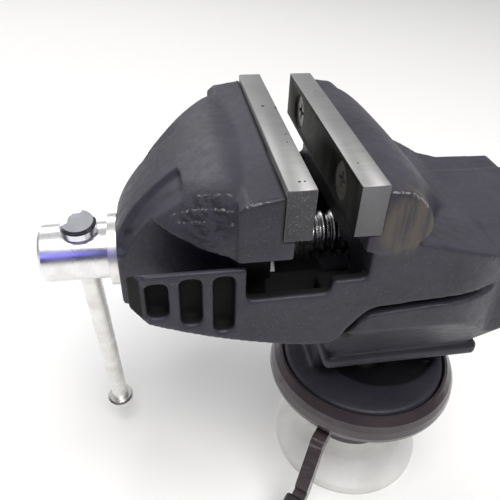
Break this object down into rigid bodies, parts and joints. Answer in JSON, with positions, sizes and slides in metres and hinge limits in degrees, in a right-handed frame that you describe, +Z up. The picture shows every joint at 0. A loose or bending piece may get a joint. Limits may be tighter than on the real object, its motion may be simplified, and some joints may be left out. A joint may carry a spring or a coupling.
{
  "type": "suction base vise",
  "caption": "Small swivelling bench vise on a suction base, with a screw-driven jaw, smooth steel jaw plates, a sliding handle bar and a lock lever under the collar.",
  "frame": {"origin": "on the table, on the swivel axis, under the suction base", "axes": "+Z up along the swivel axis, +X from the handle towards the fixed jaw and the anvil"},
  "size_m": [0.1684, 0.0887, 0.152],
  "materials": {
    "cast_paint": "satin",
    "collar_paint": "gloss",
    "ground_steel": "satin",
    "bright_plate": "polished",
    "plain_steel": "satin",
    "pale_plastic": "satin",
    "black_plastic": "gloss",
    "pad_rubber": "matte",
    "fibre": "matte",
    "nut_iron": "matte"
  },
  "bodies": {
    "base": {"suction_housing": "collar_paint", "suction_foot": "pale_plastic", "foot_screws": "plain_steel", "swivel_washer": "fibre", "pivot_bolt": "plain_steel", "pivot_spring_washer": "plain_steel", "pivot_nut": "plain_steel", "return_spring": "plain_steel", "rubber_pad": "pad_rubber"},
    "vise": {"fixed_body": "cast_paint", "fixed_jaw_plate": "ground_steel", "fixed_plate_screws": "plain_steel", "lead_nut": "nut_iron", "nut_bolt": "plain_steel", "nut_bolt_washer": "plain_steel"},
    "jaw": {"movable_jaw": "cast_paint", "movable_jaw_plate": "ground_steel", "movable_plate_screws": "plain_steel"},
    "spindle": {"lead_screw": "bright_plate", "thrust_washer": "bright_plate", "retaining_washer": "plain_steel", "retaining_pin": "bright_plate"},
    "handle": {"handle_bar": "bright_plate", "handle_cap_top": "bright_plate", "handle_cap_bottom": "bright_plate"},
    "lever": {"lock_lever": "collar_paint", "lever_grip": "black_plastic"},
    "lifter": {"lift_stem": "plain_steel", "lift_pin": "plain_steel", "lift_plate": "plain_steel"}
  },
  "joints": [
    {"name": "swivel", "type": "hinge", "parent": "base", "child": "vise", "pos_m": [0, 0, 0.048], "axis": [0, 0, 1], "continuous": true},
    {"name": "jaw_slide", "type": "slide", "parent": "vise", "child": "jaw", "axis": [-1, 0, 0], "range_m": [-0.01, 0.04]},
    {"name": "screw_spin", "type": "hinge", "parent": "jaw", "child": "spindle", "pos_m": [-0.0985, 0, 0.112], "axis": [-1, 0, 0], "range_deg": [-1028.6, 4114.3]},
    {"name": "handle_slide", "type": "slide", "parent": "spindle", "child": "handle", "axis": [0, -0.1908, 0.9816], "range_m": [0, 0.084]},
    {"name": "lock_swing", "type": "hinge", "parent": "base", "child": "lever", "pos_m": [0, 0, 0.021], "axis": [0, 0, 1], "range_deg": [0, 70]},
    {"name": "pad_lift", "type": "slide", "parent": "base", "child": "lifter", "axis": [0, 0, 1], "range_m": [0, 0.003], "deforming": ["rubber_pad", "return_spring"]}
  ],
  "couplings": [
    {"joint": "screw_spin", "follows": "jaw_slide", "rad_per_m": 1795.2},
    {"joint": "lock_swing", "follows": "pad_lift", "rad_per_m": 407.24}
  ]
}
